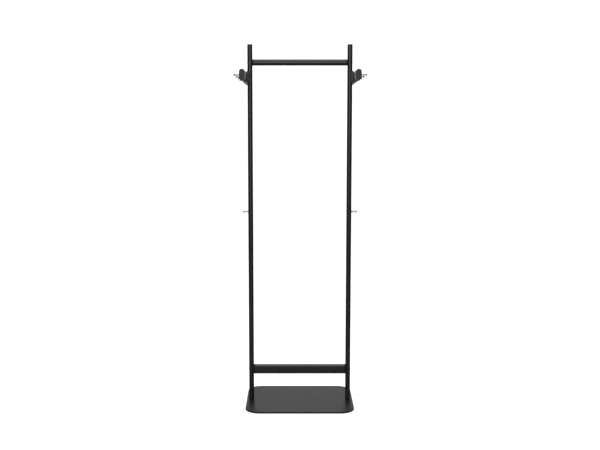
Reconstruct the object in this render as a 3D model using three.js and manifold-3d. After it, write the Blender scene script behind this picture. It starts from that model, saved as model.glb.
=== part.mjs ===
// A standing coat rack: two round uprights on a flat floor plate, joined by a round hanging rail
// and a square stretcher. Each upright carries a flat-oval rail that runs front to back, with
// four pegs, and one more peg at half height.
//
// Millimetres, +Z up. The origin is on the floor, under the middle of the rack. +X is to the
// right and -Y is the front.

import * as THREE from "three";
import { mergeVertices } from "three/addons/utils/BufferGeometryUtils.js";
import Module from "manifold-3d";

const wasm = await Module();
wasm.setup();

// ---------------------------------------------------------------- driving dimensions

const FIT = 0.3; // clearance between two pieces that touch or slide together

// Whole rack
const RACK_HEIGHT = 1800;
const UPRIGHT_SPACING = 491; // between the axes of the two uprights

// Floor plate and its pads
const PLATE_SIDE_MARGIN = 24.5; // from an upright's axis to the plate's side edge
const PLATE_DEPTH = 430;
const PLATE_SETBACK = 15; // how far the plate's middle lies behind the uprights
const PLATE_THICKNESS = 8;
const PLATE_CORNER_RADIUS = 72;
const PLATE_EDGE_BEVEL = 0.8;
const PAD_DIAMETER = 40;
const PAD_THICKNESS = 2;
const PAD_INSET = 62; // from the plate's edges to a pad's centre

// Uprights
const TUBE_DIAMETER = 25;
const TUBE_WALL = 1.5;
const TOP_CAP_THICKNESS = 3;
const TOP_CAP_ROUNDING = 1.5;
const TOP_CAP_SPIGOT = 14;
const SPIGOT_WALL = 2; // wall of a moulded, hollow spigot
const FOOT_INSERT_LENGTH = 34;

// Countersunk bolt under each foot
const FOOT_BOLT_DIAMETER = 10;
const FOOT_BOLT_HEAD_DIAMETER = 19;
const FOOT_BOLT_LENGTH = 34;
const FOOT_BOLT_SOCKET = 6; // across the flats
const FOOT_BOLT_SOCKET_DEPTH = 3.5;

// Hanging rail
const HANGING_RAIL_HEIGHT = 1712.5; // its axis above the floor
const HANGING_RAIL_DIAMETER = 30;
const HANGING_RAIL_WALL = 2;

// Lower stretcher
const STRETCHER_HEIGHT = 170.5; // its axis above the floor
const STRETCHER_SIDE = 40;
const STRETCHER_WALL = 1.5;
const STRETCHER_CORNER_RADIUS = 2.5;

// Ends of the hanging rail and the stretcher
const SADDLE_THICKNESS = 5; // from a rail's end to the nearest line of the upright
const SADDLE_WRAP = 4.5; // how far a saddle reaches round the upright
const SADDLE_SPIGOT = 10;
const INSERT_LENGTH = 18;

// Barrel-headed bolt that joins a rail to an upright
const BOLT_DIAMETER = 6;
const BOLT_HEAD_DIAMETER = 10;
const BOLT_HEAD_PROUD = 0.6; // past the upright's outer line
const BOLT_SOCKET = 5; // across the flats
const BOLT_SOCKET_DEPTH = 4;

// Flat-oval peg rails
const PEG_RAIL_HEIGHT = 1640; // their axis above the floor
const PEG_RAIL_LENGTH = 500; // over the end caps
const PEG_RAIL_SECTION_WIDTH = 26;
const PEG_RAIL_SECTION_HEIGHT = 52;
const PEG_RAIL_WALL = 2;
const RAIL_CAP_THICKNESS = 3;
const RAIL_CAP_BEVEL = 1.5;
const RAIL_CAP_SPIGOT = 8;

// Bracket tabs that hold a peg rail, one in front of the upright and one behind it
const TAB_REACH = 105; // from the upright's axis to the tab's end
const TAB_HEIGHT = 50;
const TAB_THICKNESS = 8;
const TAB_CORNER_RADIUS = 6;
const TAB_SCREW_MARGIN = 20; // from either end of the tab to a screw
const SCREW_DIAMETER = 6;
const SCREW_HEAD_DIAMETER = 11;
const SCREW_LENGTH = 18;
const SCREW_SOCKET = 4; // across the flats
const SCREW_SOCKET_DEPTH = 1.6;

// Pegs
const PEGS_PER_RAIL = 4;
const PEG_END_MARGIN = 20; // from the end of the rail to the first peg
const PEG_LENGTH = 27; // from the face that it stands on
const PEG_SHAFT_DIAMETER = 8;
const PEG_KNOB_DIAMETER = 12;
const PEG_KNOB_LENGTH = 6;
const PEG_KNOB_ROUNDING = 1.5;
const PEG_SPIGOT_DIAMETER = 6; // through the wall
const PEG_TAIL_DIAMETER = 9; // spread behind the wall
const PEG_TAIL_LENGTH = 2;
const UPRIGHT_PEG_HEIGHT = 978;

// Facets round a full turn
const TUBE_FACETS = 24;
const SMALL_FACETS = 12;
const OVAL_FACETS = 8; // round each half circle of a flat oval
const CORNER_FACETS = 4; // round a small corner
const PLATE_CORNER_FACETS = 8;

// ---------------------------------------------------------------- sizes that follow

const tubeRadius = TUBE_DIAMETER / 2;
const uprightX = UPRIGHT_SPACING / 2;
const plateWidth = UPRIGHT_SPACING + 2 * PLATE_SIDE_MARGIN;
const plateBottom = PAD_THICKNESS;
const plateTop = plateBottom + PLATE_THICKNESS;
const tubeBottom = plateTop + FIT;
const tubeLength = RACK_HEIGHT - TOP_CAP_THICKNESS - FIT - tubeBottom;
const railEndX = uprightX - tubeRadius - SADDLE_THICKNESS;
const boreRadius = tubeRadius - TUBE_WALL;
const boltSeat = Math.sqrt(boreRadius ** 2 - (BOLT_HEAD_DIAMETER / 2) ** 2); // past the axis
const boltShankLength = tubeRadius - boltSeat + SADDLE_THICKNESS + SADDLE_SPIGOT + INSERT_LENGTH;
const pegRailTubeLength = PEG_RAIL_LENGTH - 2 * (RAIL_CAP_THICKNESS + FIT);
const pegRailOffset = tubeRadius + FIT + PEG_RAIL_SECTION_WIDTH / 2; // from the upright's axis
const pegSpacing = (PEG_RAIL_LENGTH - 2 * PEG_END_MARGIN) / (PEGS_PER_RAIL - 1);
const tabScrewOffsets = [tubeRadius + TAB_SCREW_MARGIN, TAB_REACH - TAB_SCREW_MARGIN];

// ---------------------------------------------------------------- materials

/** One finish, as a three.js material. */
function finish(color, roughness, metalness) {
  return new THREE.MeshStandardMaterial({ color, roughness, metalness });
}

const paint = finish(0x1e1e20, 0.5, 0.1); // fine black powder coat
const polishedSteel = finish(0xb9b9b7, 0.3, 1.0); // pegs
const blackPlastic = finish(0x232325, 0.6, 0.0); // caps and saddles
const blackScrew = finish(0x161616, 0.45, 0.6); // blackened bolts and screws
const plainSteel = finish(0x8c8d8f, 0.5, 1.0); // hidden threaded inserts
const rubber = finish(0x111111, 0.9, 0.0); // floor pads

// ---------------------------------------------------------------- solids

/** A closed three.js geometry as a manifold-3d solid, with its shared corners merged. */
function solid(geometry) {
  const bare = geometry.index ? geometry.toNonIndexed() : geometry.clone();
  bare.deleteAttribute("normal");
  bare.deleteAttribute("uv");
  const merged = mergeVertices(bare, 1e-4);
  const mesh = new wasm.Mesh({
    numProp: 3,
    vertProperties: new Float32Array(merged.attributes.position.array),
    triVerts: new Uint32Array(merged.index.array),
  });
  return new wasm.Manifold(mesh);
}

/** A solid back as a three.js geometry with flat-shaded faces. */
function geometryOf(made) {
  const mesh = made.getMesh();
  const indexed = new THREE.BufferGeometry();
  indexed.setAttribute("position", new THREE.BufferAttribute(mesh.vertProperties, 3));
  indexed.setIndex(new THREE.BufferAttribute(mesh.triVerts, 1));
  const geometry = indexed.toNonIndexed();
  geometry.computeVertexNormals();
  return geometry;
}

/** The base geometry with every cut taken out of it. All are geometries in one frame. */
function cut(base, cuts) {
  let made = solid(base);
  for (const tool of cuts) {
    made = made.subtract(solid(tool));
  }
  return geometryOf(made);
}

/** Two geometries that overlap, joined into one body. */
function join(first, second) {
  return geometryOf(solid(first).add(solid(second)));
}

/** A round bar on the local Z axis, from one height to another. */
function rod(diameter, from, to, facets = SMALL_FACETS) {
  const geometry = new THREE.CylinderGeometry(diameter / 2, diameter / 2, to - from, facets);
  return geometry.rotateX(Math.PI / 2).translate(0, 0, (from + to) / 2);
}

/** A round bar that runs along X, between two values of x, at the given y and z. */
function rodAlongX(diameter, from, to, y, z, facets = SMALL_FACETS) {
  return rod(diameter, from, to, facets).rotateY(Math.PI / 2).translate(0, y, z);
}

/** A cone on the local Z axis, from one diameter and height to another. */
function cone(fromDiameter, toDiameter, from, to) {
  const height = to - from;
  const geometry = new THREE.CylinderGeometry(toDiameter / 2, fromDiameter / 2, height, SMALL_FACETS);
  return geometry.rotateX(Math.PI / 2).translate(0, 0, (from + to) / 2);
}

/** A hexagonal recess on the local Z axis, measured across its flats. */
function hexagon(acrossFlats, from, to) {
  return rod(acrossFlats / Math.cos(Math.PI / 6), from, to, 6);
}

/** A profile of [radius, height] pairs turned round the local Z axis, listed from the bottom up. */
function turned(profile, facets = SMALL_FACETS) {
  const points = profile.map(([radius, height]) => new THREE.Vector2(radius, height));
  return new THREE.LatheGeometry(points, facets).rotateX(Math.PI / 2);
}

/** A quarter circle of [radius, height] pairs, from the side of a turned edge to its top. */
function roundedEdge(radius, top, rounding, steps = 2) {
  return Array.from({ length: steps + 1 }, (_, step) => {
    const angle = (step / steps) * (Math.PI / 2);
    const inward = rounding * (1 - Math.cos(angle));
    return [radius - inward, top - rounding * (1 - Math.sin(angle))];
  });
}

/** A rectangle with round corners, centred on the origin. */
function roundedRectangle(width, height, radius) {
  const x = width / 2;
  const y = height / 2;
  const shape = new THREE.Shape();
  shape.moveTo(x - radius, -y);
  shape.absarc(x - radius, radius - y, radius, -Math.PI / 2, 0, false);
  shape.absarc(x - radius, y - radius, radius, 0, Math.PI / 2, false);
  shape.absarc(radius - x, y - radius, radius, Math.PI / 2, Math.PI, false);
  shape.absarc(radius - x, radius - y, radius, Math.PI, Math.PI * 1.5, false);
  shape.closePath();
  return shape;
}

/** A flat oval: a rectangle whose narrower ends are half circles. */
function flatOval(width, height) {
  const radius = Math.min(width, height) / 2;
  const reach = height / 2 - radius;
  const shape = new THREE.Shape();
  shape.moveTo(radius, -reach);
  shape.absarc(0, reach, radius, 0, Math.PI, false);
  shape.absarc(0, -reach, radius, Math.PI, Math.PI * 2, false);
  return shape;
}

/** A flat-headed screw's body. Its head's face is at z = 0, and it points along +Z. */
function flatHeaded(diameter, headDiameter, length) {
  return turned([
    [0, 0],
    [headDiameter / 2, 0],
    [diameter / 2, (headDiameter - diameter) / 2],
    [diameter / 2, length],
    [0, length],
  ]);
}

/**
 * The space for a flat-headed screw whose head lies FIT below the surface at z = 0, through a
 * wall of the given thickness. The head has FIT of room square to its 45 degree cone.
 */
function countersunkHole(diameter, headDiameter, thickness) {
  const narrow = diameter + 2 * FIT;
  const mouth = headDiameter + 2 * FIT * (1 + Math.SQRT2); // on the surface
  const sink = cone(mouth + 2 * FIT, narrow, -FIT, (mouth - narrow) / 2);
  return join(rod(narrow, 0, thickness + 1), sink);
}

/** A flat shape carried along the local Z axis, from one height to another. */
function prism(shape, from, to, curveSegments = CORNER_FACETS) {
  const options = { depth: to - from, bevelEnabled: false, curveSegments };
  return new THREE.ExtrudeGeometry(shape, options).translate(0, 0, from);
}

/** As prism, with a narrow bevel along the edges, kept inside the shape. */
function bevelledPrism(shape, from, to, bevel, curveSegments) {
  const options = {
    depth: to - from - 2 * bevel,
    bevelThickness: bevel,
    bevelSize: bevel,
    bevelOffset: -bevel,
    bevelSegments: 1,
    curveSegments,
  };
  return new THREE.ExtrudeGeometry(shape, options).translate(0, 0, from + bevel);
}

/** The upright's outside, with its clearance, as a cutter across the local Z axis. */
function uprightAcross(distance) {
  return rodAlongX(TUBE_DIAMETER + 2 * FIT, -PLATE_DEPTH, PLATE_DEPTH, 0, distance, TUBE_FACETS);
}

// ---------------------------------------------------------------- floor plate

/**
 * The plate lies on z = 0 in its own frame, centred on the origin, with a countersunk hole under
 * each upright.
 */
function plateGeometry() {
  const outline = roundedRectangle(plateWidth, PLATE_DEPTH, PLATE_CORNER_RADIUS);
  const plate = bevelledPrism(outline, 0, PLATE_THICKNESS, PLATE_EDGE_BEVEL, PLATE_CORNER_FACETS);
  const holes = [-uprightX, uprightX].map((x) =>
    countersunkHole(FOOT_BOLT_DIAMETER, FOOT_BOLT_HEAD_DIAMETER, PLATE_THICKNESS).translate(
      x, -PLATE_SETBACK, 0,
    ),
  );
  return cut(plate, holes);
}

/** A flat-headed bolt whose head lies just inside the plate's underside. */
function footBoltGeometry() {
  const socket = hexagon(FOOT_BOLT_SOCKET, -1, FOOT_BOLT_SOCKET_DEPTH);
  return cut(flatHeaded(FOOT_BOLT_DIAMETER, FOOT_BOLT_HEAD_DIAMETER, FOOT_BOLT_LENGTH), [socket]);
}

/** A round rubber pad that carries the plate. */
function padGeometry() {
  const height = PAD_THICKNESS - FIT;
  const radius = PAD_DIAMETER / 2;
  return turned([[0, 0], [radius, 0], ...roundedEdge(radius, height, height / 2), [0, height]]);
}

/** The plate, its two bolts and its four pads. */
function basePieces() {
  const group = new THREE.Group();
  group.add(piece("base_plate", plateGeometry(), paint, 0, PLATE_SETBACK, plateBottom));
  for (const [side, sideSign] of [["left", -1], ["right", 1]]) {
    const x = sideSign * uprightX;
    group.add(piece(side + "_foot_bolt", footBoltGeometry(), blackScrew, x, 0, plateBottom + FIT));
    for (const [end, endSign] of [["front", -1], ["back", 1]]) {
      const padX = sideSign * (plateWidth / 2 - PAD_INSET);
      const padY = PLATE_SETBACK + endSign * (PLATE_DEPTH / 2 - PAD_INSET);
      group.add(piece(`floor_pad_${end}_${side}`, padGeometry(), rubber, padX, padY, 0));
    }
  }
  return group;
}

// ---------------------------------------------------------------- uprights

/** The tube stands on z = 0 in its own frame, and its outer side faces +X. */
function uprightGeometry() {
  const outside = rod(TUBE_DIAMETER, 0, tubeLength, TUBE_FACETS);
  const inside = rod(2 * boreRadius, -1, tubeLength + 1, TUBE_FACETS);
  const cuts = [inside];
  for (const height of [HANGING_RAIL_HEIGHT, STRETCHER_HEIGHT]) {
    const z = height - tubeBottom;
    cuts.push(rodAlongX(BOLT_HEAD_DIAMETER + 2 * FIT, 0, TUBE_DIAMETER, 0, z));
    cuts.push(rodAlongX(BOLT_DIAMETER + 2 * FIT, -TUBE_DIAMETER, 0, 0, z));
  }
  const pegZ = UPRIGHT_PEG_HEIGHT - tubeBottom;
  cuts.push(rodAlongX(PEG_SPIGOT_DIAMETER + 2 * FIT, 0, TUBE_DIAMETER, 0, pegZ));
  return cut(outside, cuts);
}

/** A moulded cap: a rounded disc on the tube's end, and a hollow spigot inside it. */
function topCapGeometry() {
  const spigotRadius = boreRadius - FIT;
  return turned(
    [
      [0, 0],
      [spigotRadius - SPIGOT_WALL, 0],
      [spigotRadius - SPIGOT_WALL, -TOP_CAP_SPIGOT],
      [spigotRadius, -TOP_CAP_SPIGOT],
      [spigotRadius, 0],
      [tubeRadius, 0],
      ...roundedEdge(tubeRadius, TOP_CAP_THICKNESS, TOP_CAP_ROUNDING),
      [0, TOP_CAP_THICKNESS],
    ],
    TUBE_FACETS,
  );
}

/** The threaded plug in the foot of an upright, which the foot bolt screws into. */
function footInsertGeometry() {
  const outside = rod(2 * (boreRadius - FIT), 0, FOOT_INSERT_LENGTH, TUBE_FACETS);
  const hole = rod(FOOT_BOLT_DIAMETER + 2 * FIT, -1, FOOT_INSERT_LENGTH + 1);
  return cut(outside, [hole]);
}

// ---------------------------------------------------------------- rails between the uprights

/** The round hanging rail, centred on the origin and running along X. */
function hangingRailGeometry() {
  const bore = HANGING_RAIL_DIAMETER - 2 * HANGING_RAIL_WALL;
  const outside = rodAlongX(HANGING_RAIL_DIAMETER, -railEndX, railEndX, 0, 0, TUBE_FACETS);
  return cut(outside, [rodAlongX(bore, -railEndX - 1, railEndX + 1, 0, 0, TUBE_FACETS)]);
}

/** The square stretcher, centred on the origin and running along X. */
function stretcherGeometry() {
  const side = STRETCHER_SIDE - 2 * STRETCHER_WALL;
  const radius = STRETCHER_CORNER_RADIUS - STRETCHER_WALL;
  const outline = roundedRectangle(STRETCHER_SIDE, STRETCHER_SIDE, STRETCHER_CORNER_RADIUS);
  const outside = prism(outline, -railEndX, railEndX);
  const inside = prism(roundedRectangle(side, side, radius), -railEndX - 1, railEndX + 1);
  return cut(outside, [inside]).rotateY(Math.PI / 2);
}

/**
 * A moulded end piece that seats a rail on the round upright. The rail's end is at z = 0 in its
 * own frame, the upright is on the +Z side, and the spigot goes back into the rail.
 */
function saddle(outside, spigot) {
  const bolt = rod(BOLT_DIAMETER + 2 * FIT, -SADDLE_SPIGOT - 1, SADDLE_THICKNESS + tubeRadius);
  return cut(join(outside, spigot), [uprightAcross(SADDLE_THICKNESS + tubeRadius), bolt]);
}

/** The saddle at an end of the hanging rail. */
function hangingSaddleGeometry() {
  const spigotDiameter = HANGING_RAIL_DIAMETER - 2 * (HANGING_RAIL_WALL + FIT);
  const outside = rod(HANGING_RAIL_DIAMETER, FIT, SADDLE_THICKNESS + SADDLE_WRAP, TUBE_FACETS);
  return saddle(outside, rod(spigotDiameter, -SADDLE_SPIGOT, 2 * FIT, TUBE_FACETS));
}

/** The saddle at an end of the stretcher. */
function stretcherSaddleGeometry() {
  const outline = roundedRectangle(STRETCHER_SIDE, STRETCHER_SIDE, STRETCHER_CORNER_RADIUS);
  const outside = prism(outline, FIT, SADDLE_THICKNESS + SADDLE_WRAP);
  return saddle(outside, prism(stretcherCore(), -SADDLE_SPIGOT, 2 * FIT));
}

/** The outline of what fits inside the stretcher. */
function stretcherCore() {
  const side = STRETCHER_SIDE - 2 * (STRETCHER_WALL + FIT);
  return roundedRectangle(side, side, STRETCHER_CORNER_RADIUS - STRETCHER_WALL);
}

/** A threaded plug inside a rail, behind the saddle's spigot. Its outer end is at z = 0. */
function railInsert(outside) {
  return cut(outside, [rod(BOLT_DIAMETER + 2 * FIT, -INSERT_LENGTH - 1, 1)]);
}

/** The plug inside the round hanging rail. */
function hangingInsertGeometry() {
  const diameter = HANGING_RAIL_DIAMETER - 2 * (HANGING_RAIL_WALL + FIT);
  return railInsert(rod(diameter, -INSERT_LENGTH, 0, TUBE_FACETS));
}

/** The plug inside the square stretcher. */
function stretcherInsertGeometry() {
  return railInsert(prism(stretcherCore(), -INSERT_LENGTH, 0));
}

/**
 * The bolt between an upright and a rail. Its long barrel head fills the width of the tube and
 * bears on the inner wall. The head's outer face is at z = 0, and the bolt points along +Z.
 */
function railBoltGeometry() {
  const headRadius = BOLT_HEAD_DIAMETER / 2;
  const headLength = BOLT_HEAD_PROUD + tubeRadius + boltSeat - FIT;
  const length = headLength + boltShankLength;
  const body = turned([
    [0, 0],
    [headRadius - BOLT_HEAD_PROUD, 0],
    [headRadius, BOLT_HEAD_PROUD],
    [headRadius, headLength],
    [BOLT_DIAMETER / 2, headLength],
    [BOLT_DIAMETER / 2, length],
    [0, length],
  ]);
  return cut(body, [hexagon(BOLT_SOCKET, -1, BOLT_SOCKET_DEPTH)]);
}

// ---------------------------------------------------------------- peg rails

/** The flat-oval tube, centred on the origin and running along Y. Its outer side faces +X. */
function pegRailGeometry() {
  const half = pegRailTubeLength / 2;
  const outline = flatOval(PEG_RAIL_SECTION_WIDTH, PEG_RAIL_SECTION_HEIGHT);
  const outside = prism(outline, -half, half, OVAL_FACETS);
  const inside = prism(pegRailCore(0), -half - 1, half + 1, OVAL_FACETS);
  const cuts = [inside];
  const middle = PEG_RAIL_SECTION_WIDTH;
  for (const y of pegPlaces()) {
    cuts.push(acrossRail(PEG_SPIGOT_DIAMETER + 2 * FIT, 0, middle, y));
  }
  for (const y of tabScrewOffsets) {
    cuts.push(acrossRail(SCREW_DIAMETER + 2 * FIT, -middle, 0, y));
    cuts.push(acrossRail(SCREW_DIAMETER + 2 * FIT, -middle, 0, -y));
  }
  return cut(outside, cuts).rotateX(Math.PI / 2);
}

/** A hole's cutter through one side wall, in the frame that the rail is carried along Z in. */
function acrossRail(diameter, from, to, distance) {
  return rodAlongX(diameter, from, to, 0, distance);
}

/** Where the pegs stand along a peg rail, from its middle. */
function pegPlaces() {
  const first = -((PEGS_PER_RAIL - 1) * pegSpacing) / 2;
  return Array.from({ length: PEGS_PER_RAIL }, (_, index) => first + index * pegSpacing);
}

/** The outline inside the flat-oval tube, less a clearance. */
function pegRailCore(clearance) {
  const less = 2 * (PEG_RAIL_WALL + clearance);
  return flatOval(PEG_RAIL_SECTION_WIDTH - less, PEG_RAIL_SECTION_HEIGHT - less);
}

/** A moulded cap on the end of a peg rail. The tube's end is at z = 0, and the cap faces +Z. */
function railCapGeometry() {
  const outline = flatOval(PEG_RAIL_SECTION_WIDTH, PEG_RAIL_SECTION_HEIGHT);
  const disc = bevelledPrism(outline, FIT, FIT + RAIL_CAP_THICKNESS, RAIL_CAP_BEVEL, OVAL_FACETS);
  const spigot = prism(pegRailCore(FIT), -RAIL_CAP_SPIGOT, 2 * FIT, OVAL_FACETS);
  const hollow = prism(pegRailCore(FIT + SPIGOT_WALL), -RAIL_CAP_SPIGOT - 1, -FIT, OVAL_FACETS);
  return cut(join(disc, spigot), [hollow]);
}

/**
 * A steel tab welded to the upright, which reaches along the peg rail. The frame is the
 * upright's: its axis is on z, the tab reaches along +Y and its outer face is towards +X.
 */
function tabGeometry() {
  const outline = roundedRectangle(2 * TAB_REACH, TAB_HEIGHT, TAB_CORNER_RADIUS);
  const plate = prism(outline, tubeRadius - TAB_THICKNESS, tubeRadius);
  plate.rotateZ(Math.PI / 2).rotateY(Math.PI / 2);
  const halfHeight = TAB_HEIGHT / 2 + 1;
  const otherHalf = new THREE.BoxGeometry(TUBE_DIAMETER * 2, TAB_REACH + 1, 2 * halfHeight);
  otherHalf.translate(tubeRadius, -(TAB_REACH + 1) / 2, 0);
  const cuts = [otherHalf, rod(TUBE_DIAMETER + 2 * FIT, -halfHeight, halfHeight, TUBE_FACETS)];
  for (const y of tabScrewOffsets) {
    const hole = countersunkHole(SCREW_DIAMETER, SCREW_HEAD_DIAMETER, TAB_THICKNESS);
    cuts.push(hole.rotateY(Math.PI / 2).translate(tubeRadius - TAB_THICKNESS, y, 0));
  }
  return cut(plate, cuts);
}

/** A flat-headed socket screw that holds the peg rail to a tab. */
function tabScrewGeometry() {
  const socket = hexagon(SCREW_SOCKET, -1, SCREW_SOCKET_DEPTH);
  return cut(flatHeaded(SCREW_DIAMETER, SCREW_HEAD_DIAMETER, SCREW_LENGTH), [socket]);
}

// ---------------------------------------------------------------- pegs

/**
 * A turned peg riveted through a wall. The wall's outer face is at z = 0 and the peg points
 * along +Z. Its shaft starts at shaftStart, and its spread tail lies behind the wall.
 */
function pegGeometry(wall, shaftStart) {
  const spigotRadius = PEG_SPIGOT_DIAMETER / 2;
  const shaftRadius = PEG_SHAFT_DIAMETER / 2;
  const tailRadius = PEG_TAIL_DIAMETER / 2;
  const knobRadius = PEG_KNOB_DIAMETER / 2;
  const tailTop = -wall - FIT;
  const shaftEnd = PEG_LENGTH - PEG_KNOB_LENGTH;
  return turned([
    [0, tailTop - PEG_TAIL_LENGTH],
    [tailRadius, tailTop - PEG_TAIL_LENGTH],
    [tailRadius, tailTop],
    [spigotRadius, tailTop],
    [spigotRadius, shaftStart],
    [shaftRadius, shaftStart],
    [shaftRadius, shaftEnd],
    [knobRadius, shaftEnd + (knobRadius - shaftRadius) / 2],
    ...roundedEdge(knobRadius, PEG_LENGTH, PEG_KNOB_ROUNDING),
    [0, PEG_LENGTH],
  ]);
}

/** A peg on the round upright: its tail and its shaft's foot follow the tube's two faces. */
function uprightPegGeometry() {
  const drop = tubeRadius - Math.sqrt(tubeRadius ** 2 - (PEG_SHAFT_DIAMETER / 2) ** 2);
  const long = pegGeometry(TUBE_WALL, -drop);
  const across = PEG_KNOB_DIAMETER;
  const outside = 2 * (tubeRadius + FIT);
  const inside = 2 * (boreRadius - FIT);
  const tube = solid(rodAlongX(outside, -across, across, 0, -tubeRadius, TUBE_FACETS));
  const bore = solid(rodAlongX(inside, -2 * across, 2 * across, 0, -tubeRadius, TUBE_FACETS));
  const spigot = solid(rod(PEG_SPIGOT_DIAMETER, -TUBE_WALL - 2 * FIT, 1));
  return geometryOf(solid(long).subtract(tube.subtract(bore)).add(spigot));
}

// ---------------------------------------------------------------- assembly

/** One named mesh at a place in its group. */
function piece(name, geometry, material, x, y, z) {
  const mesh = new THREE.Mesh(geometry, material);
  mesh.name = name;
  mesh.position.set(x, y, z);
  return mesh;
}

/** The same, with a geometry that points along its local Z turned to point along X. */
function pieceAlongX(name, geometry, material, x, y, z, direction) {
  const mesh = piece(name, geometry, material, x, y, z);
  mesh.rotation.y = (direction * Math.PI) / 2;
  return mesh;
}

/** A rail between the uprights, with a saddle, an insert and a bolt at each end. */
function crossPieces(name, z, railGeometry, saddleGeometry, insertGeometry) {
  const group = new THREE.Group();
  group.add(piece(name, railGeometry, paint, 0, 0, z));
  for (const [side, sign] of [["left", -1], ["right", 1]]) {
    const saddleX = sign * railEndX;
    const insertX = sign * (railEndX - SADDLE_SPIGOT - FIT);
    const boltX = sign * (uprightX + tubeRadius + BOLT_HEAD_PROUD);
    group.add(
      pieceAlongX(`${name}_saddle_${side}`, saddleGeometry, blackPlastic, saddleX, 0, z, sign),
      pieceAlongX(`${name}_insert_${side}`, insertGeometry, plainSteel, insertX, 0, z, sign),
      pieceAlongX(`${name}_bolt_${side}`, railBoltGeometry(), blackScrew, boltX, 0, z, -sign),
    );
  }
  return group;
}

/** The hanging rail and all that joins it to the uprights. */
function hangingRailPieces() {
  const saddleGeometry = hangingSaddleGeometry();
  const insertGeometry = hangingInsertGeometry();
  const rail = hangingRailGeometry();
  return crossPieces("hanging_rail", HANGING_RAIL_HEIGHT, rail, saddleGeometry, insertGeometry);
}

/** The lower stretcher and all that joins it to the uprights. */
function stretcherPieces() {
  const saddleGeometry = stretcherSaddleGeometry();
  const insertGeometry = stretcherInsertGeometry();
  const rail = stretcherGeometry();
  return crossPieces("lower_stretcher", STRETCHER_HEIGHT, rail, saddleGeometry, insertGeometry);
}

/**
 * One side of the rack, built with +X pointing outwards from the upright's axis. The left side
 * is the same group turned half round, so its front pieces are on its own +Y side.
 */
function sidePieces(side) {
  const group = new THREE.Group();
  const frontSign = side === "right" ? -1 : 1;
  group.add(
    piece(side + "_upright", uprightGeometry(), paint, 0, 0, tubeBottom),
    piece(side + "_top_cap", topCapGeometry(), blackPlastic, 0, 0, RACK_HEIGHT - TOP_CAP_THICKNESS),
    piece(side + "_foot_insert", footInsertGeometry(), plainSteel, 0, 0, tubeBottom),
    piece(side + "_peg_rail", pegRailGeometry(), paint, pegRailOffset, 0, PEG_RAIL_HEIGHT),
    pieceAlongX(
      side + "_upright_peg", uprightPegGeometry(), polishedSteel, tubeRadius, 0, UPRIGHT_PEG_HEIGHT, 1,
    ),
  );
  for (const [end, sign] of [["front", frontSign], ["back", -frontSign]]) {
    group.add(...endPieces(side, end, sign));
  }
  const pegX = pegRailOffset + PEG_RAIL_SECTION_WIDTH / 2;
  pegPlaces().forEach((place, index) => {
    const name = `${side}_rail_peg_${index + 1}`; // numbered from the front
    const peg = pegGeometry(PEG_RAIL_WALL, FIT);
    group.add(pieceAlongX(name, peg, polishedSteel, pegX, -frontSign * place, PEG_RAIL_HEIGHT, 1));
  });
  return group;
}

/** What lies at the front or back half of one peg rail: its cap, its tab and the tab's screws. */
function endPieces(side, end, sign) {
  const cap = piece(
    `${side}_rail_cap_${end}`, railCapGeometry(), blackPlastic, pegRailOffset, 0, PEG_RAIL_HEIGHT,
  );
  cap.position.y = sign * (pegRailTubeLength / 2);
  cap.rotation.x = (-sign * Math.PI) / 2;
  const tab = piece(`${side}_tab_${end}`, tabGeometry(), paint, 0, 0, PEG_RAIL_HEIGHT);
  tab.scale.y = sign;
  const screws = tabScrewOffsets.map((offset, index) => {
    const name = `${side}_tab_screw_${end}_${index + 1}`; // numbered from the upright
    const x = tubeRadius - TAB_THICKNESS + FIT;
    return pieceAlongX(name, tabScrewGeometry(), blackScrew, x, sign * offset, PEG_RAIL_HEIGHT, 1);
  });
  return [cap, tab, ...screws];
}

const rack = new THREE.Group();
rack.name = "coat_rack";
rack.add(basePieces(), hangingRailPieces(), stretcherPieces());

const rightSide = sidePieces("right");
rightSide.position.x = uprightX;

const leftSide = sidePieces("left");
leftSide.position.x = -uprightX;
leftSide.rotation.z = Math.PI;

rack.add(rightSide, leftSide);

export default rack;
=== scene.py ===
"""How the standing coat rack looks: its surfaces, its finishes and a plain pale studio.

Metres, +Z up, -Y is the front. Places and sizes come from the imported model's boxes. A surface is
a stack of closed rings worked out with numpy, and a finish is a set of nodes that reads object
coordinates, or the length along a turned surface. Sizes that a shape needs beyond the boxes are
in millimetres times MM.
"""

import math

import bmesh
import bpy
import numpy as np
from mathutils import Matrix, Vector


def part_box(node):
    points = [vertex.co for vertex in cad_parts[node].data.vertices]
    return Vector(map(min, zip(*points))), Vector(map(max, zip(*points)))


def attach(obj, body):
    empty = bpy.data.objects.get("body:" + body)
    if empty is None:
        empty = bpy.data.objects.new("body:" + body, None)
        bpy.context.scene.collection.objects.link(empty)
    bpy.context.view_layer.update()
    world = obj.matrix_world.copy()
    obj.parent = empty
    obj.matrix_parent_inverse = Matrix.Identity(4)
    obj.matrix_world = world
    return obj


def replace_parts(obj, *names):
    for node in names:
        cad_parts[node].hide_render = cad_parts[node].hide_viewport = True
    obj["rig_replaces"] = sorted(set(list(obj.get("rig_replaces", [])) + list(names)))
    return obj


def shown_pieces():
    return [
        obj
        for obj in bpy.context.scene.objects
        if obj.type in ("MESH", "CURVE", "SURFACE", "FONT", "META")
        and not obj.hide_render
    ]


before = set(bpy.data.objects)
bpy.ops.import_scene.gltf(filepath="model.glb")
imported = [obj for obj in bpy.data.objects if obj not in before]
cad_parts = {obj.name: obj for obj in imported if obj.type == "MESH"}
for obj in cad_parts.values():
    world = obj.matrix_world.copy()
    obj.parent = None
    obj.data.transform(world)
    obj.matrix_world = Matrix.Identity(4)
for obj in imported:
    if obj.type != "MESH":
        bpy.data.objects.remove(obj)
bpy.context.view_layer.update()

MM = 0.001
TOUCHING = 1e-6  # points nearer than this lie on the same line
SIDES = (("left", -1), ("right", 1))
ENDS = (("front", -1), ("back", 1))


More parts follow.
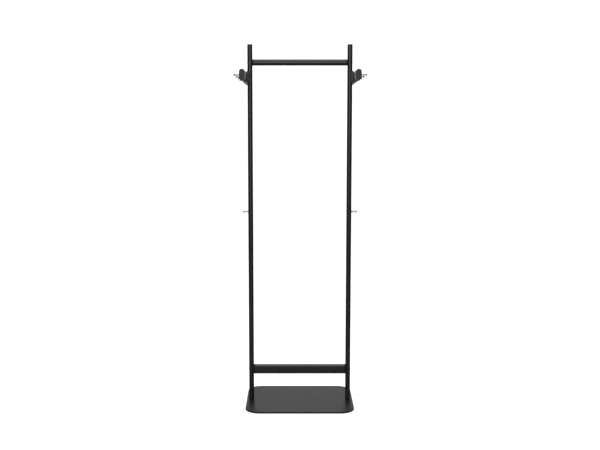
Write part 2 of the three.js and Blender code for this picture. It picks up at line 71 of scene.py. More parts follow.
# ---------------------------------------------------------------- shapes

def box(node):
    """A node's lowest corner, highest corner and middle, as arrays."""
    low, high = (np.array(corner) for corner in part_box(node))
    return low, high, (low + high) / 2


def outline(width, height, corner, inset=0.0, steps=8, flats=1):
    """A rectangle with round corners, less an inset all round, as points that go anticlockwise.

    Each corner is a quarter circle about a point that lies one corner radius in from both sides,
    and each straight side is cut into equal flats. A circle is the case where both sides are
    twice the radius, and a flat oval the case where only the shorter side is. Where a size is a
    list, there is one ring of points for each value.
    """
    width, height, corner, inset = (
        np.asarray(size, float).reshape(-1, 1, 1) for size in (width, height, corner, inset)
    )
    radius = np.maximum(corner - inset, 0)
    quarter = np.arange(4)[:, None]
    angle = (quarter + np.linspace(0, 1, steps)) * (math.pi / 2)
    side = np.sign(np.cos((quarter + 0.5) * (math.pi / 2)))
    level = np.sign(np.sin((quarter + 0.5) * (math.pi / 2)))
    x = side * (width / 2 - inset - radius) + radius * np.cos(angle)
    y = level * (height / 2 - inset - radius) + radius * np.sin(angle)
    corners = np.stack(np.broadcast_arrays(x, y), -1)
    start = corners[:, :, -1:]
    end = np.roll(corners, -1, axis=1)[:, :, :1]
    between = start + (end - start) * (np.arange(1, flats) / flats)[:, None]
    return np.concatenate([corners, between], 2).reshape(corners.shape[0], -1, 2)


def stacked(sections, places):
    """Flat rings, each lifted to its own place on the Z axis."""
    places = np.broadcast_to(np.asarray(places, float)[:, None, None], sections.shape[:2] + (1,))
    return np.concatenate([sections, places], -1)


def rounded_bar(start, end, edge, steps=5):
    """(inset, place) pairs of a bar whose two end edges are quarter circles of radius edge.

    A narrow rim inside each flat end and a narrow band on the side keep both flat in shading.
    """
    turn = np.linspace(0, math.pi / 2, steps)
    inset = np.r_[edge * 1.6, edge * (1 - np.sin(turn)), 0]
    depth = np.r_[0, edge * (1 - np.cos(turn)), edge * 1.6]
    return np.r_[inset, inset[::-1]], np.r_[start + depth, end - depth[::-1]]


def laid(rings, axis, origin, sign=1):
    """Rings made about Z, laid along another axis, from an origin.

    The three axes change places in turn, and sign -1 adds half a turn about Z, so no surface
    is turned inside out.
    """
    rings = np.roll(rings, "zxy".index(axis), axis=-1)
    return rings * np.array([sign, sign, 1]) + np.asarray(origin)


def surface(rings, closed=(True, True)):
    """The points, faces and UV map of a stack of rings, with a fan over each end that is closed.

    Point j of one ring joins point j of the next. In the UV map, u is the length round the
    longest ring and v the length along the stack, which goes on to the middle of each fan.
    """
    count, around = rings.shape[:2]
    middles = rings[[0, -1]].mean(1)
    points = np.concatenate([rings.reshape(-1, 3), middles])

    here = np.arange(around)
    there = (here + 1) % around
    strip = np.stack([here, there, there + around, here + around], -1)
    quads = strip + np.arange(count - 1)[:, None, None] * around
    last = (count - 1) * around
    bottom = np.stack([np.full(around, len(points) - 2), there, here], -1)
    top = np.stack([np.full(around, len(points) - 1), last + here, last + there], -1)

    steps = np.linalg.norm(np.roll(rings, -1, axis=1) - rings, axis=-1)
    u = np.r_[0, np.cumsum(steps[steps.sum(1).argmax()])]
    v = np.r_[0, np.cumsum(np.linalg.norm(np.diff(rings, axis=0), axis=-1).mean(1))]
    reach = np.linalg.norm(rings[[0, -1]] - middles[:, None], axis=-1).mean(1)
    left, right, low, high = np.broadcast_arrays(u[:-1], u[1:], v[:-1, None], v[1:, None])
    side_uv = np.stack([left, low, right, low, right, high, left, high], -1).reshape(-1, 2)
    left, right, first, final = np.broadcast_arrays(u[:-1], u[1:], v[0], v[-1])
    bottom_uv = np.stack([left, first - reach[0], right, first, left, first], -1).reshape(-1, 2)
    top_uv = np.stack([left, final + reach[1], left, final, right, final], -1).reshape(-1, 2)

    faces = quads.reshape(-1, 4).tolist()
    uv = [side_uv]
    for wanted, fan, fan_uv in zip(closed, (bottom, top), (bottom_uv, top_uv)):
        if wanted:
            faces += fan.tolist()
            uv.append(fan_uv)
    return points, faces, np.concatenate(uv)


def skin(name, *parts):
    """One mesh from stacks of rings, or from surfaces, that meet edge to edge.

    Its object lies at the origin, its doubled points are merged and its faces are smooth up to
    an angle.
    """
    points, faces, uv = [], [], []
    for part in parts:
        made = surface(part) if isinstance(part, np.ndarray) else part
        before = sum(map(len, points))
        points.append(made[0])
        faces += [[corner + before for corner in face] for face in made[1]]
        uv.append(made[2])
    mesh = bpy.data.meshes.new(name)
    mesh.from_pydata(np.concatenate(points), [], faces)
    layer = mesh.uv_layers.new(name="along")
    layer.uv.foreach_set("vector", np.concatenate(uv).astype(np.float32).ravel())
    merged = bmesh.new()
    merged.from_mesh(mesh)
    bmesh.ops.remove_doubles(merged, verts=merged.verts, dist=2e-6)
    loose = [point for point in merged.verts if not point.link_faces]
    bmesh.ops.delete(merged, geom=loose, context="VERTS")
    merged.to_mesh(mesh)
    merged.free()
    mesh.shade_smooth()
    mesh.set_sharp_from_angle(angle=math.radians(40))
    made = bpy.data.objects.new(name, mesh)
    bpy.context.scene.collection.objects.link(made)
    return made


def sunk_cells(ring, place, holes, seams, seam_points=24):
    """A flat face that looks down Z and has countersunk holes, as one stack of rings for each.

    Straight seams across the face part it into cells, one about each hole. A cell's outer ring
    is its share of the face's edge and its seams, taken in order round the hole. Its inner rings
    are the points of circles that lie in the same directions from the hole's middle: the mouth
    in the face, the throat one depth in, and the bottom two depths in. A hole is
    (x, y, mouth radius, throat radius, depth).
    """
    cells = []
    bounds = [-np.inf, *seams, np.inf]
    for (x, y, mouth, throat, depth), low, high in zip(holes, bounds, bounds[1:]):
        edge = ring[(ring[:, 0] >= low - TOUCHING) & (ring[:, 0] <= high + TOUCHING)]
        for seam in (low, high):
            if np.isfinite(seam):
                ends = ring[np.abs(ring[:, 0] - seam) < TOUCHING][:, 1]
                level = np.linspace(ends.min(), ends.max(), seam_points + 2)[1:-1]
                line = np.stack([np.full(seam_points, seam), level], -1)
                edge = np.concatenate([edge, line])
        direction = edge - (x, y)
        order = np.argsort(np.arctan2(direction[:, 1], direction[:, 0]))
        edge, direction = edge[order], direction[order]
        direction /= np.linalg.norm(direction, axis=1)[:, None]
        circles = [direction * radius + (x, y) for radius in (throat, throat, mouth)]
        places = place + np.array([2 * depth, depth, 0, 0])
        cells.append(stacked(np.stack([*circles, edge]), places))
    return cells


def bar(name, node, axis, corner, edge, steps, start=None):
    """A straight bar with a node's own section, round corners and soft end edges.

    It is as long as the node, unless it is given another start.
    """
    low, high, middle = box(node)
    run = "xyz".index(axis)
    across, up = (run + 1) % 3, (run + 2) % 3
    size = high - low
    first = low[run] if start is None else start
    inset, place = rounded_bar(first, high[run], edge)
    sections = outline(size[across], size[up], corner, inset, steps)
    origin = middle.copy()
    origin[run] = 0
    return skin(name, laid(stacked(sections, place), axis, origin))


def turned_rings(radii, places, around=64):
    """Rings about Z with the given radii and places. A radius may vary round its own ring."""
    angle = np.arange(around) * (2 * math.pi / around)
    radii = np.stack([np.broadcast_to(radius, around) for radius in radii])
    sections = np.stack([radii * np.cos(angle), radii * np.sin(angle)], -1)
    return stacked(sections, places)


def hexagon_radius(across_flats, around=48):
    """The distance from a hexagon's middle to its edge, for each point of a ring."""
    angle = np.arange(around) * (2 * math.pi / around)
    from_flat = np.mod(angle, math.pi / 3) - math.pi / 6
    return across_flats / 2 / np.cos(from_flat)


def soft_profile(corners, steps=6):
    """(radius, place) corners of a turned profile, with the edge at each rounded.

    A corner is (radius, place, rounding). Its curve is the parabola that starts and ends one
    rounding away from it, along the two lines that meet there.
    """
    spots = np.array([corner[:2] for corner in corners], float)
    line = [spots[:1]]
    part = np.linspace(0, 1, steps)[:, None]
    for before, here, after, (_, _, rounding) in zip(spots, spots[1:], spots[2:], corners[1:]):
        back = before - here
        ahead = after - here
        start = here + back * rounding / np.linalg.norm(back)
        end = here + ahead * rounding / np.linalg.norm(ahead)
        line.append(start * (1 - part) ** 2 + here * 2 * part * (1 - part) + end * part ** 2)
    line.append(spots[-1:])
    return np.concatenate(line).T


def saddle(name, node, rail, upright, corner, sign, edge=0.6 * MM):
    """A moulded end piece between a rail and the round upright, which seats in a hollow.

    Each ring is a section across Y: a rectangle with soft corners, as tall there as the rail,
    that runs from the rail's end to the hollow x = axis - sqrt(seat^2 - y^2), or to the flat
    tip beside it.
    """
    low, high, middle = box(node)
    tube_low, tube_high, tube = box(upright)
    half = (high[1] - low[1]) / 2
    tip = max(abs(low[0]), abs(high[0]))
    rail_end = box(rail)[1][0] + SEAM
    axis = abs(tube[0])
    seat = (tube_high[0] - tube_low[0]) / 2 + SEAM
    meet = math.sqrt(seat ** 2 - (axis - tip) ** 2)

    flank = half - corner
    outer = flank + corner * np.sin(np.linspace(0, math.pi / 2, 17))
    outer = outer[outer > meet]
    y = np.r_[-outer[::-1], np.linspace(-meet, meet, 33), outer]
    tall = flank + np.sqrt(np.maximum(corner ** 2 - np.maximum(np.abs(y) - flank, 0) ** 2, 0))
    tall = np.maximum(tall, 0.3 * MM)
    hollow = axis - np.sqrt(np.maximum(seat ** 2 - y ** 2, 0))
    reach = np.where(np.abs(y) > meet, tip, hollow)

    sections = outline(2 * tall, reach - rail_end, np.minimum(edge, tall * 0.8), steps=4)
    sections[..., 1] += ((reach + rail_end) / 2)[:, None]
    return skin(name, laid(stacked(sections, y), "y", (0, 0, middle[2]), sign))


def carried(name, path, radii, steps=14):
    """A round bead carried along a path, with its own radius at each point.

    Each ring lies square to the path: the first direction across it is the path's own direction
    crossed with a fixed diagonal, and the second is square to both.
    """
    along = np.gradient(path, axis=0)
    along /= np.linalg.norm(along, axis=1)[:, None]
    across = np.cross(along, (0.62, 0.31, 0.72))
    across /= np.linalg.norm(across, axis=1)[:, None]
    up = np.cross(along, across)
    angle = (np.arange(steps) * (2 * math.pi / steps))[None, :, None]
    ring = np.cos(angle) * across[:, None] + np.sin(angle) * up[:, None]
    return skin(name, path[:, None] + ring * radii[:, None, None])


# ---------------------------------------------------------------- finishes

class Wire:
    """One socket of a material. Arithmetic on it adds Math nodes, and node() adds any other."""

    def __init__(self, tree, socket=None):
        self.tree = tree
        self.socket = socket

    def node(self, kind, settings=None, inputs=None, output=0):
        """A node of any type: its settings go in first, then its sockets' values or links."""
        made = self.tree.nodes.new(kind)
        for key, value in (settings or {}).items():
            setattr(made, key, value)
        for key, value in (inputs or {}).items():
            if isinstance(value, Wire):
                self.tree.links.new(value.socket, made.inputs[key])
            else:
                made.inputs[key].default_value = value
        return Wire(self.tree, made.outputs[output] if len(made.outputs) else None)

    def math(self, operation, *values):
        return self.node("ShaderNodeMath", {"operation": operation}, dict(enumerate(values)))

    def __add__(self, other):
        return self.math("ADD", self, other)

    def __sub__(self, other):
        return self.math("SUBTRACT", self, other)

    def __rsub__(self, other):
        return self.math("SUBTRACT", other, self)

    def __mul__(self, other):
        return self.math("MULTIPLY", self, other)

    __radd__ = __add__
    __rmul__ = __mul__

    def above(self, low, high):
        """0 up to low, 1 from high on, and a smooth step between them."""
        settings = {"interpolation_type": "SMOOTHSTEP"}
        return self.node("ShaderNodeMapRange", settings, {0: self, 1: low, 2: high})


def grey(value, warmth=0.0):
    """A near-neutral colour: its blue falls and its red rises as warmth grows."""
    return (value * (1 + warmth), value, value * (1 - warmth), 1.0)


def noise(place, size, detail=2.0, roughness=0.5):
    """Smooth random patches about this size, from 0 to 1."""
    inputs = {"Vector": place, "Scale": 1 / size, "Detail": detail, "Roughness": roughness}
    return place.node("ShaderNodeTexNoise", None, inputs)


def mixed(factor, first, second):
    """A colour between two others."""
    settings = {"data_type": "RGBA", "clamp_factor": True}
    return factor.node("ShaderNodeMix", settings, {0: factor, 6: first, 7: second}, output=2)


def stretched(place, scale):
    """A place whose three lengths are multiplied by three numbers."""
    settings = {"operation": "MULTIPLY"}
    return place.node("ShaderNodeVectorMath", settings, {0: place, 1: scale})


def bumped(height, depth):
    """The normal of a surface whose height from 0 to 1 stands for this depth."""
    inputs = {"Height": height, "Distance": depth}
    return height.node("ShaderNodeBump", None, inputs)


def start_finish(name):
    """A new material's tree, as a wire, and the material."""
    made = bpy.data.materials.new(name)
    made.use_nodes = True
    made.node_tree.nodes.clear()
    return made, Wire(made.node_tree)


def end_finish(wire, inputs):
    """A Principled shader with these sockets, joined to the material's output."""
    shader = wire.node("ShaderNodeBsdfPrincipled", None, inputs)
    wire.node("ShaderNodeOutputMaterial", None, {"Surface": shader})


def powder_coat(name, dust=0.0, matt=0.38):
    """Fine black powder coat: sandy grain, a soft orange peel, and a trace of dust and rubs.

    Dust is how much lint lies on it, from 0 to 1, and matt its middle roughness.
    """
    made, wire = start_finish(name)
    place = wire.node("ShaderNodeTexCoord", output="Object")
    grain = noise(place, 0.55 * MM, detail=2)
    sand = noise(place, 1.4 * MM, detail=1)
    peel = noise(place, 5 * MM, detail=1)
    cloud = noise(place, 70 * MM, detail=4, roughness=0.6)
    specks = noise(place, 2.2 * MM, detail=3, roughness=0.7).above(0.63, 0.74)
    rub = noise(stretched(place, (1.0, 4.0, 0.35)), 16 * MM, detail=5, roughness=0.65)
    rubbed = rub.above(0.60, 0.80)
    lint = specks * cloud.above(0.45, 0.7) * dust
    tone = mixed(cloud.above(0.3, 0.7), PAINT_DARK, PAINT_LIGHT)
    tone = mixed(lint * 0.5, tone, DUST)
    roughness = matt + 0.05 * (grain - 0.5) + 0.09 * (cloud - 0.5) + 0.16 * lint - 0.07 * rubbed
    height = grain * 0.3 + sand * 0.35 + peel * 0.35
    end_finish(wire, {
        "Base Color": tone,
        "Roughness": roughness,
        "Normal": bumped(height, 0.16 * MM),
        "IOR": 1.5,
        "Specular IOR Level": 0.45,
        "Specular Tint": grey(0.98, -0.02),
    })
    return made


def moulded_black(name, matt, shine):
    """Black moulded plastic: a fine eroded grain, with faint flow marks.

    Matt is its middle roughness and shine its specular level.
    """
    made, wire = start_finish(name)
    place = wire.node("ShaderNodeTexCoord", output="Object")
    grain = noise(place, 0.35 * MM, detail=3)
    flow = noise(stretched(place, (1, 1, 3)), 12 * MM, detail=2)
    tone = mixed(flow.above(0.35, 0.65), grey(0.0050), grey(0.0058, -0.02))
    end_finish(wire, {
        "Base Color": tone,
        "Roughness": matt + 0.08 * (grain - 0.5) + 0.03 * (flow - 0.5),
        "Normal": bumped(grain, 0.05 * MM),
        "IOR": 1.47,
        "Specular IOR Level": shine,
    })
    return made


def turned_steel():
    """Turned stainless steel: fine tool marks round the axis and soft smears."""
    made, wire = start_finish("turned_steel")
    place = wire.node("ShaderNodeTexCoord", output="Object")
    along = wire.node("ShaderNodeUVMap", {"uv_map": "along"})
    marks = noise(stretched(along, (0.02, 1, 1)), 0.16 * MM, detail=2)
    bands = noise(stretched(along, (0.01, 1, 1)), 1.1 * MM, detail=1)
    smear = noise(place, 6 * MM, detail=3)
    tone = mixed(smear.above(0.3, 0.7), grey(0.34, 0.012), grey(0.40, 0.006))
    end_finish(wire, {
        "Base Color": tone,
        "Metallic": 1.0,
        "Roughness": 0.30 + 0.10 * (marks - 0.5) + 0.06 * (smear - 0.5),
        "Normal": bumped(marks * 0.6 + bands * 0.4, 0.012 * MM),
    })
    return made


def blackened_steel():
    """Blackened screws: an oily dark oxide, a little browner and shinier where it is handled."""
    made, wire = start_finish("blackened_steel")
    place = wire.node("ShaderNodeTexCoord", output="Object")
    oxide = noise(place, 1.5 * MM, detail=4)
    grain = noise(place, 0.25 * MM, detail=2)
    tone = mixed(oxide.above(0.4, 0.7), grey(0.045, -0.02), grey(0.085, 0.05))
    end_finish(wire, {
        "Base Color": tone,
        "Metallic": 0.75,
        "Roughness": 0.36 + 0.14 * (oxide - 0.5) + 0.06 * (grain - 0.5),
        "Normal": bumped(oxide * 0.5 + grain * 0.5, 0.02 * MM),
    })
    return made


def zinc_plate():
    """Zinc plated inserts: pale metal with soft spangles."""
    made, wire = start_finish("zinc_plated_steel")
    place = wire.node("ShaderNodeTexCoord", output="Object")
    spangle = noise(place, 4 * MM, detail=3)
    grain = noise(place, 0.4 * MM, detail=2)
    tone = mixed(spangle.above(0.35, 0.65), grey(0.42, -0.01), grey(0.55, 0.01))
    end_finish(wire, {
        "Base Color": tone,
        "Metallic": 1.0,
        "Roughness": 0.42 + 0.15 * (spangle - 0.5),
        "Normal": bumped(grain, 0.02 * MM),
    })
    return made


def floor_rubber():
    """Matt black rubber with a dusty bloom."""
    made, wire = start_finish("floor_rubber")
    place = wire.node("ShaderNodeTexCoord", output="Object")
    bloom = noise(place, 5 * MM, detail=4)
    grain = noise(place, 0.5 * MM, detail=2)
    tone = mixed(bloom.above(0.4, 0.7), grey(0.011), grey(0.022, 0.03))
    end_finish(wire, {
        "Base Color": tone,
        "Roughness": 0.82 + 0.12 * (bloom - 0.5),
        "Normal": bumped(grain, 0.04 * MM),
        "Specular IOR Level": 0.35,
    })
    return made


def studio_white():
    """The plain pale floor and wall: matt paper with the faintest mottle, evenly lit by itself."""
    made, wire = start_finish("studio_paper")
    place = wire.node("ShaderNodeTexCoord", output="Object")
    mottle = noise(place, 0.4, detail=2)
    end_finish(wire, {
        "Base Color": mixed(mottle, grey(0.58), grey(0.60)),
        "Roughness": 0.9,
        "Specular IOR Level": 0.0,
        "Emission Color": grey(1.0),
        "Emission Strength": 0.62,
    })
    return made


PAINT_DARK = grey(0.0036, -0.03)
PAINT_LIGHT = grey(0.0054, -0.05)
DUST = grey(0.16, 0.03)
SEAM = 0.15 * MM  # half of the hairline between two pieces

PAINT = powder_coat("black_powder_coat")
PLATE_PAINT = powder_coat("black_powder_coat_plate", dust=1.0, matt=0.42)
BRACKET_PAINT = powder_coat("black_powder_coat_brackets", matt=0.52)
PLASTIC = moulded_black("moulded_black_caps", 0.52, 0.4)
SADDLE_PLASTIC = moulded_black("moulded_black_saddles", 0.68, 0.18)
STEEL = turned_steel()
SCREW = blackened_steel()
ZINC = zinc_plate()
RUBBER = floor_rubber()


def fitted(piece, finish, slot, *nodes):
    """A piece set on the rack with its finish, in place of its nodes."""
    piece.data.materials.append(finish)
    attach(piece, "root")
    if nodes:
        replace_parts(piece, *nodes)
    return piece


# ---------------------------------------------------------------- floor plate

PLATE_CORNER = 72 * MM


def floor_plate():
    """The steel plate: wide round corners, finely rounded edges and two sunk holes beneath."""
    low, high, middle = box("base_plate")
    size = high - low
    edge = 0.9 * MM
    clearance = 0.7 * MM
    throat = 5.3 * MM
    inset, place = rounded_bar(low[2], high[2], edge)
    sections = outline(size[0], size[1], PLATE_CORNER, inset, steps=28, flats=48)
    holes = []
    for side, _ in SIDES:
        bolt_low, bolt_high, bolt = box(f"{side}_foot_bolt")
        mouth = (bolt_high[0] - bolt_low[0]) / 2 + clearance
        x, y = bolt[:2] - middle[:2]
        holes.append((x, y, mouth, throat, mouth - throat))
    origin = (*middle[:2], 0)
    cells = sunk_cells(sections[0], low[2], holes, seams=(0.0,))
    parts = [surface(laid(rings, "z", origin), (True, False)) for rings in cells]
    body = surface(laid(stacked(sections, place), "z", origin), (False, True))
    plate = skin("floor_plate", body, *parts)
    return fitted(plate, PLATE_PAINT, "black_paint", "base_plate")


def foot_bolt(side):
    """The flat-headed bolt in the plate's underside, with its socket facing the floor."""
    node = f"{side}_foot_bolt"
    low, high, middle = box(node)
    radius = (high[0] - low[0]) / 2
    rings = countersunk_rings(
        radius, shank=5 * MM, length=12 * MM, across_flats=6 * MM, depth=3.5 * MM, chamfer=0.3 * MM,
    )
    rings = rings * np.array([1, -1, -1]) + (*middle[:2], low[2])
    return fitted(skin(f"{side}_plate_bolt", rings), SCREW, "black_screw", node)


def floor_pad(end, side):
    """A rubber pad under a corner of the plate, with two grooves in its sole."""
    node = f"floor_pad_{end}_{side}"
    low, high, middle = box(node)
    radius = (high[0] - low[0]) / 2
    tall = high[2] - low[2]
    groove = 0.4 * MM
    soft = 0.15 * MM
    profile = [(0.5 * MM, 0, 0)]
    for share in (0.36, 0.68):
        inner = radius * share
        profile += [
            (inner, 0, soft), (inner + groove, groove, soft),
            (inner + 3 * groove, groove, soft), (inner + 4 * groove, 0, soft),
        ]
    profile += [
        (radius, 0, 0.4 * MM), (radius, tall, 0.7 * MM),
        (radius * 0.8, tall, 0.2 * MM), (1 * MM, tall, 0),
    ]
    radii, places = soft_profile(profile, steps=4)
    rings = turned_rings(radii, places)
    pad = skin(f"rubber_pad_{end}_{side}", laid(rings, "z", (middle[0], middle[1], low[2])))
    return fitted(pad, RUBBER, "rubber", node)


# ---------------------------------------------------------------- uprights and rails

def upright_tube(side):
    """The round tube, from the plate to the top cap, with its edges eased."""
    name = f"{side}_upright"
    foot = box("base_plate")[1][2]
    low, high, middle = box(name)
    radius = (high[0] - low[0]) / 2
    tube = bar(f"{side}_tube", name, "z", radius, 0.35 * MM, steps=17, start=foot)
    return fitted(tube, PAINT, "black_paint", name)


def top_cap(side):
    """The moulded cap on an upright: a low dome with a rounded edge."""
    node = f"{side}_top_cap"
    low, high, middle = box(node)
    radius = (high[0] - low[0]) / 2
    seat = box(f"{side}_upright")[1][2]
    top = high[2]
    profile = [
        (2 * MM, seat, 0), (radius - 0.5 * MM, seat, 0.2 * MM), (radius, seat + 0.4 * MM, 0.2 * MM),
        (radius, top - 0.25 * MM, 1.3 * MM), (radius * 0.5, top, 2 * MM), (0.8 * MM, top, 0),
    ]
    radii, places = soft_profile(profile)
    cap = skin(f"{side}_tube_cap", laid(turned_rings(radii, places), "z", (*middle[:2], 0)))
    return fitted(cap, PLASTIC, "black_plastic", node)


def hanging_rail():
    """The round rail between the uprights."""
    low, high, middle = box("hanging_rail")
    rail = bar("hanging_bar", "hanging_rail", "x", (high[2] - low[2]) / 2, 0.4 * MM, steps=17)
    return fitted(rail, PAINT, "black_paint", "hanging_rail")


STRETCHER_CORNER = 2.5 * MM


def stretcher():
    """The square tube near the floor."""
    rail = bar("stretcher_bar", "lower_stretcher", "x", STRETCHER_CORNER, 0.4 * MM, steps=9)
    return fitted(rail, PAINT, "black_paint", "lower_stretcher")


def rail_saddles(side, sign):
    """The two moulded end pieces that seat on one upright."""
    upright = f"{side}_upright"
    low, high, _ = box("hanging_rail")
    radius = (high[2] - low[2]) / 2
    for rail, corner in (("hanging_rail", radius), ("lower_stretcher", STRETCHER_CORNER)):
        node = f"{rail}_saddle_{side}"
        piece = saddle(f"{rail}_seat_{side}", node, rail, upright, corner, sign)
        fitted(piece, SADDLE_PLASTIC, "black_plastic", node)


def socket_rings(waist, radius, across_flats, depth, back, chamfer):
    """A bolt's or screw's head: a hexagonal socket in a flat face, then the outside of the head.

    The rings go from the bottom of the socket up to the face, out to the rim and back down to
    the waist. Local z is 0 at the face, and the head looks up Z.
    """
    hexagon = hexagon_radius(across_flats)
    lip = 0.25 * MM
    band = 0.2 * MM
    radii = [
        hexagon * 0.25, hexagon * 0.94, hexagon, hexagon, hexagon + lip,
        radius - chamfer - band, radius - chamfer, radius, radius, *waist,
    ]
    places = [
        -depth - 0.6 * MM, -depth, -depth + 0.1 * MM, -lip, 0,
        0, 0, -chamfer, -chamfer - band, *back,
    ]
    return turned_rings(radii, places, around=48)[::-1]


def countersunk_rings(radius, shank, length, across_flats, depth, chamfer):
    """A flat head with a cone of 45 degrees down to its shank, which ends one length back."""
    waist = (shank, shank)
    back = (-(radius - shank), -length)
    return socket_rings(waist, radius, across_flats, depth, back, chamfer)


def barrel_bolts(side, sign):
    """The bolts whose barrel heads end just proud of an upright's outer side."""
    for rail in ("hanging_rail", "lower_stretcher"):
        node = f"{rail}_bolt_{side}"
        low, high, middle = box(node)
        radius = (high[1] - low[1]) / 2
        outer = high[0] if sign > 0 else low[0]
        rings = socket_rings((radius,), radius, 5 * MM, 4 * MM, (-12 * MM,), 0.6 * MM)
        head = skin(f"{rail}_barrel_{side}", laid(rings, "x", (outer, *middle[1:]), sign))
        fitted(head, SCREW, "black_screw", node)


# ---------------------------------------------------------------- peg rails

def peg_rail(side):
    """The flat-oval tube of one side, from front to back."""
    name = f"{side}_peg_rail"
    low, high, middle = box(name)
    rail = bar(f"{side}_oval_rail", name, "y", (high[0] - low[0]) / 2, 0.4 * MM, steps=15)
    return fitted(rail, PAINT, "black_paint", name)


def rail_cap(side, end, sign):
    """The moulded cap on one end of a peg rail, with a wide rounded edge."""
    node = f"{side}_rail_cap_{end}"
    low, high, middle = box(node)
    tube_low, tube_high, _ = box(f"{side}_peg_rail")
    seat = tube_high[1] if sign > 0 else -tube_low[1]
    face = high[1] if sign > 0 else -low[1]
    turn = np.linspace(0, math.pi / 2, 8)
    edge = 1.8 * MM
    inset = np.r_[
        np.array([6, 0.4, 0.1, 0, 0]) * MM,
        edge * (1 - np.cos(turn)),
        edge + 1 * MM, 10 * MM,
    ]
    place = np.r_[
        seat + np.array([0, 0, 0.1, 0.4, 0.8]) * MM,
        face - edge * (1 - np.sin(turn)),
        face, face,
    ]
    place = np.clip(place, seat, face)
    size = high - low
    sections = outline(size[2], size[0], size[0] / 2, inset, steps=15)
    rings = laid(stacked(sections, place), "y", (middle[0], 0, middle[2]), sign)
    return fitted(skin(f"{side}_oval_cap_{end}", rings), PLASTIC, "black_plastic", node)


TAB_CORNER = 6 * MM


def bracket_tab(side, end, side_sign, end_sign):
    """A flat steel tab along half a peg rail, with round corners and two sunk screw holes.

    It is made looking outwards, with its inner face at the start, and its end in the upright is
    square.
    """
    node = f"{side}_tab_{end}"
    low, high, middle = box(node)
    inner, outer = sorted((abs(low[0]), abs(high[0])))
    reach = max(abs(low[1]), abs(high[1]))
    tall = high[2] - low[2]
    level = middle[2]
    way = side_sign * end_sign
    screws = [box(f"{side}_tab_screw_{end}_{number}") for number in (1, 2)]
    places = [abs(middle[1]) for _, _, middle in screws]
    screw_low, screw_high, _ = screws[0]
    clearance = 0.6 * MM
    throat = 3.3 * MM
    mouth = (screw_high[1] - screw_low[1]) / 2 + clearance

    edge = 0.6 * MM
    square_end = 3 * MM
    inset, place = rounded_bar(inner, outer, edge)
    sections = outline(2 * reach, tall, TAB_CORNER, inset, steps=8, flats=60)
    start = square_end + inset[:, None]
    sections[..., 0] = way * np.maximum(way * sections[..., 0], start)
    across = sections[0, :, 0]
    seam = across[np.abs(across - way * np.mean(places)).argmin()]
    holes = sorted((way * spot, 0.0, mouth, throat, mouth - throat) for spot in places)
    cells = sunk_cells(sections[0], inner, holes, seams=(seam,))
    origin = (0, 0, level)
    parts = [surface(laid(rings, "x", origin, side_sign), (True, False)) for rings in cells]
    body = surface(laid(stacked(sections, place), "x", origin, side_sign), (False, True))
    tab = skin(f"{side}_bracket_{end}", body, *parts)
    return fitted(tab, BRACKET_PAINT, "black_paint", node)


def tab_weld(side, end, side_sign, end_sign):
    """A painted weld bead where a tab meets the upright: across below it, up, and across above."""
    low, high, _ = box(f"{side}_tab_{end}")
    tube_low, tube_high, tube = box(f"{side}_upright")
    radius = (tube_high[0] - tube_low[0]) / 2
    inner = min(abs(low[0]), abs(high[0])) - abs(tube[0])
    root = math.acos(inner / radius)
    lift = 0.2 * MM
    pitch = 1.9 * MM
    across = np.linspace(0.25, root, 14)
    up = np.linspace(low[2] - lift, high[2] + lift, 90)
    angle = np.r_[across, np.full(len(up), root), across[::-1]]
    level = np.r_[np.full(len(across), up[0]), up, np.full(len(across), up[-1])]
    bead = 1.9 * MM
    out = radius + lift
    path = np.stack([
        side_sign * (abs(tube[0]) + out * np.cos(angle)), end_sign * out * np.sin(angle), level,
    ], -1)
    travel = np.r_[0, np.cumsum(np.linalg.norm(np.diff(path, axis=0), axis=1))]
    spots = np.arange(0, travel[-1], 0.45 * MM)
    path = np.stack([np.interp(spots, travel, path[:, axis]) for axis in range(3)], -1)
    reach = 4
    soft = np.ones(2 * reach + 1) / (2 * reach + 1)
    padded = np.pad(path, ((reach, reach), (0, 0)), mode="edge")
    path = np.stack([np.convolve(padded[:, axis], soft, "valid") for axis in range(3)], -1)
    ripple = 1 + 0.09 * np.sin(spots * (2 * math.pi / pitch))
    taper = np.minimum(1, 0.25 + np.minimum(spots, spots[-1] - spots) / (3 * MM))
    made = carried(f"{side}_weld_{end}", path, bead * ripple * taper)
    return fitted(made, BRACKET_PAINT, "black_paint")


def tab_screw(side, end, number, sign):
    """A flat-headed socket screw in a tab's inner face."""
    node = f"{side}_tab_screw_{end}_{number}"
    low, high, middle = box(node)
    radius = (high[1] - low[1]) / 2
    inner = low[0] if sign > 0 else high[0]
    rings = countersunk_rings(
        radius, shank=3 * MM, length=10 * MM, across_flats=4 * MM, depth=1.6 * MM, chamfer=0.25 * MM,
    )
    head = skin(f"{side}_flat_screw_{end}_{number}", laid(rings, "x", (inner, *middle[1:]), -sign))
    return fitted(head, SCREW, "black_screw", node)


# ---------------------------------------------------------------- pegs

def turned_peg(name, node, sign, root):
    """A turned peg: a shaft with a flared foot, then a knob with a crowned, rounded end."""
    low, high, middle = box(node)
    tip = (high[0] if sign > 0 else -low[0]) - root
    knob = (high[1] - low[1]) / 2
    shaft = 4 * MM
    neck = tip - 6 * MM
    profile = [
        (1 * MM, -1.2 * MM, 0), (shaft + 0.6 * MM, -1.2 * MM, 0.1 * MM),
        (shaft + 0.6 * MM, 0.35 * MM, 0.2 * MM), (shaft, 1.1 * MM, 0.4 * MM),
        (shaft, neck, 0.9 * MM), (knob, neck + (knob - shaft), 0.7 * MM),
        (knob, tip - 0.15 * MM, 1.3 * MM), (knob * 0.45, tip, 1 * MM), (0.5 * MM, tip, 0),
    ]
    radii, places = soft_profile(profile)
    rings = turned_rings(radii, places)
    peg = skin(name, laid(rings, "x", (sign * root, middle[1], middle[2]), sign))
    return fitted(peg, STEEL, "peg_steel", node)


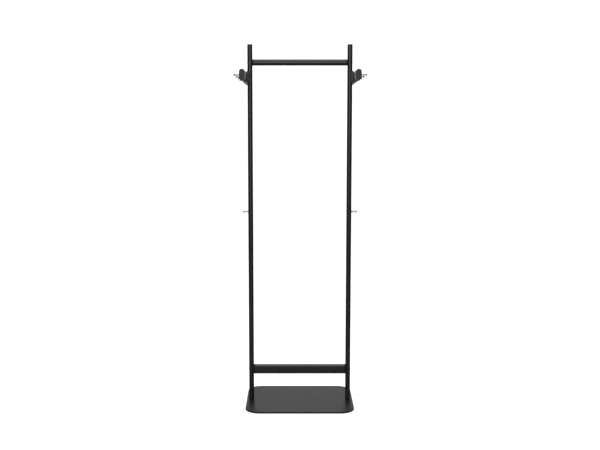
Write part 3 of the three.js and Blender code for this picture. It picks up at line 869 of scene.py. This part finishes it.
def side_pegs(side, sign):
    """The four pegs on a peg rail, and the one on the upright."""
    rail_low, rail_high, _ = box(f"{side}_peg_rail")
    rail_face = max(abs(rail_low[0]), abs(rail_high[0]))
    for number in range(1, 5):
        turned_peg(f"{side}_peg_{number}", f"{side}_rail_peg_{number}", sign, rail_face)
    tube_low, tube_high, _ = box(f"{side}_upright")
    tube_face = max(abs(tube_low[0]), abs(tube_high[0]))
    turned_peg(f"{side}_middle_peg", f"{side}_upright_peg", sign, tube_face)


# ---------------------------------------------------------------- the rack

floor_plate()
hanging_rail()
stretcher()
for side, sign in SIDES:
    upright_tube(side)
    top_cap(side)
    rail_saddles(side, sign)
    barrel_bolts(side, sign)
    foot_bolt(side)
    peg_rail(side)
    side_pegs(side, sign)
    for end, end_sign in ENDS:
        floor_pad(end, side)
        rail_cap(side, end, end_sign)
        bracket_tab(side, end, sign, end_sign)
        tab_weld(side, end, sign, end_sign)
        for number in (1, 2):
            tab_screw(side, end, number, sign)

replaced = {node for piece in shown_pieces() for node in piece.get("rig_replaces", [])}
for name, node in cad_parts.items():
    if name not in replaced:  # the threaded inserts
        node.data.materials.clear()
        node.data.materials.append(ZINC)


# ---------------------------------------------------------------- studio

def studio_floor():
    """A round floor that turns up into a wall: a profile of radii and heights turned about Z."""
    floor_radius, bend, wall = 6.0, 2.0, 9.0
    turn = np.linspace(0, math.pi / 2, 16)
    radii = np.r_[0.01, floor_radius * 0.5, floor_radius + bend * np.sin(turn), floor_radius + bend]
    places = np.r_[0, 0, bend * (1 - np.cos(turn)), wall]
    rings = turned_rings(radii, places, around=96)[::-1]
    floor = skin("studio_floor", surface(rings, (False, True)))
    floor.data.materials.append(studio_white())
    floor.visible_glossy = False


def softbox(name, place, aim, size, power):
    """A flat soft light at a place, turned towards a point, that the camera doesn't see."""
    light = bpy.data.lights.new(name, "AREA")
    light.shape = "RECTANGLE"
    light.size, light.size_y = size
    light.energy = power
    made = bpy.data.objects.new(name, light)
    made.location = place
    x, y, z = np.array(aim, float) - np.array(place, float)
    made.rotation_euler = (math.atan2(math.hypot(x, y), -z), 0, math.atan2(-x, y))
    made.visible_camera = False
    bpy.context.scene.collection.objects.link(made)
    return made


def studio_lights():
    """Softboxes overhead and in front, a glow behind, one off the floor, and a pale surround."""
    softbox("overhead", (0.0, -0.3, 3.4), (0, 0, 0), (3.4, 3.0), 70)
    softbox("front", (-0.3, -5.2, 2.3), (0, 0, 1.4), (2.4, 1.8), 110)
    softbox("backdrop_glow", (0.0, 4.6, 1.6), (0, 0, 1.6), (5.0, 3.4), 27.5)
    softbox("upper_glow", (0.0, 4.5, 2.35), (0, 0, 1.64), (2.0, 0.9), 4.5)
    softbox("floor_bounce", (0.0, -1.9, 0.004), (0, -1.9, 1.0), (3.0, 3.2), 8)
    world = bpy.data.worlds.new("studio_surround")
    world.use_nodes = True
    surround = world.node_tree.nodes["Background"]
    surround.inputs["Color"].default_value = (1, 1, 1, 1)
    surround.inputs["Strength"].default_value = 0.06
    bpy.context.scene.world = world


def studio_camera():
    """The camera: straight in front, at chest height, and pitched slightly down."""
    pitch = 0.1135
    lens = bpy.data.cameras.new("studio_camera")
    lens.lens = 51.28
    lens.sensor_width = 36
    lens.shift_x = 0.0118
    camera = bpy.data.objects.new("studio_camera", lens)
    camera.location = (-0.0343, -4.2575, 1.3951)
    camera.rotation_euler = (math.pi / 2 - pitch, 0, 0)
    bpy.context.scene.collection.objects.link(camera)
    bpy.context.scene.camera = camera


studio_floor()
studio_lights()
studio_camera()
bpy.context.scene.view_settings.view_transform = "Standard"
